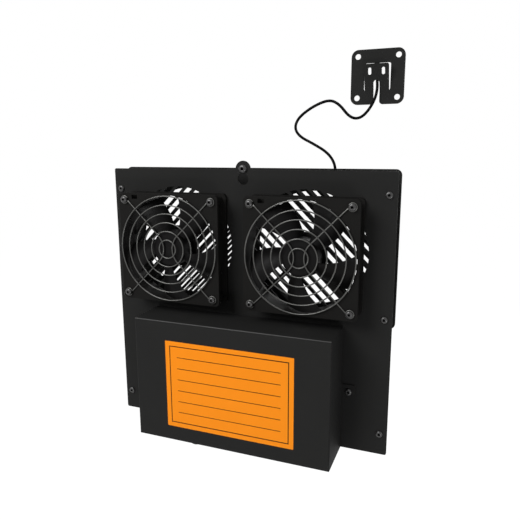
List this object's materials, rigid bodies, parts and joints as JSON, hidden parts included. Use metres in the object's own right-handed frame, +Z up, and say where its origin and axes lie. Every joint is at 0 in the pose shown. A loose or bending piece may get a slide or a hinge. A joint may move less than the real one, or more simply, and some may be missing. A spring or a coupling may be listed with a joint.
{
  "type": "cabinet fan unit with thermostat",
  "caption": "Black steel plate with guarded axial fans, a folded control box with a bare orange label, a slotted vent plate behind and a corded temperature sensor on a small bracket.",
  "frame": {"origin": "centre of the six fixing holes, on the plane of the wall that the vent plate lies on", "axes": "+X to the right seen from the front, +Y into the wall, +Z up; the fans blow along Y"},
  "size_m": [0.321, 0.0768, 0.4248],
  "materials": {
    "powder_black": "fine-textured satin black powder coat on steel",
    "zinc_steel": "zinc-plated steel",
    "black_steel": "black oxide steel, slightly oiled",
    "label_orange": "orange vinyl label with thin dark rules",
    "board_green": "green solder mask on glass fibre",
    "component_black": "moulded component housings",
    "nylon_black": "black nylon",
    "rubber_black": "soft black rubber",
    "fan_plastic": "glass-filled black thermoplastic with a satin skin",
    "wire_black": "dark coated steel wire",
    "bearing_steel": "ground steel",
    "ferrite": "bonded ferrite",
    "copper": "enamelled copper wire"
  },
  "bodies": {
    "unit": {"mounting_plate": "powder_black", "vent_plate": "powder_black", "box_cover": "powder_black", "sensor_bracket": "powder_black", "vent_standoffs": "zinc_steel", "lower_standoffs": "zinc_steel", "keyhole_nut": "zinc_steel", "cover_nuts": "zinc_steel", "guard_nuts": "zinc_steel", "board_standoffs": "zinc_steel", "board_screws": "zinc_steel", "plate_screws": "black_steel", "keyhole_screw": "black_steel", "cover_screws": "black_steel", "guard_screws": "black_steel", "label": "label_orange", "power_board": "board_green", "control_board": "board_green", "power_parts": "component_black", "control_parts": "component_black", "mains_gland": "nylon_black", "cord_clips": "nylon_black", "plate_grommet": "rubber_black", "sensor_cord": "rubber_black", "sensor_probe": "rubber_black", "left_fan_frame": "fan_plastic", "left_guard": "wire_black", "left_bearings": "bearing_steel", "left_stator_core": "bearing_steel", "left_windings": "copper", "left_circuit_board": "board_green", "right_fan_frame": "fan_plastic", "right_guard": "wire_black", "right_bearings": "bearing_steel", "right_stator_core": "bearing_steel", "right_windings": "copper", "right_circuit_board": "board_green"},
    "left_rotor": {"left_impeller": "fan_plastic", "left_rotor_yoke": "bearing_steel", "left_magnet_ring": "ferrite", "left_shaft": "bearing_steel", "left_retaining_ring": "bearing_steel"},
    "right_rotor": {"right_impeller": "fan_plastic", "right_rotor_yoke": "bearing_steel", "right_magnet_ring": "ferrite", "right_shaft": "bearing_steel", "right_retaining_ring": "bearing_steel"}
  },
  "joints": [
    {"name": "left_fan_spin", "type": "hinge", "parent": "unit", "child": "left_rotor", "pos_m": [-0.07865, -0.039, 0.0626], "axis": [0, -1, 0], "continuous": true},
    {"name": "right_fan_spin", "type": "hinge", "parent": "unit", "child": "right_rotor", "pos_m": [0.07005, -0.039, 0.0626], "axis": [0, -1, 0], "continuous": true}
  ]
}
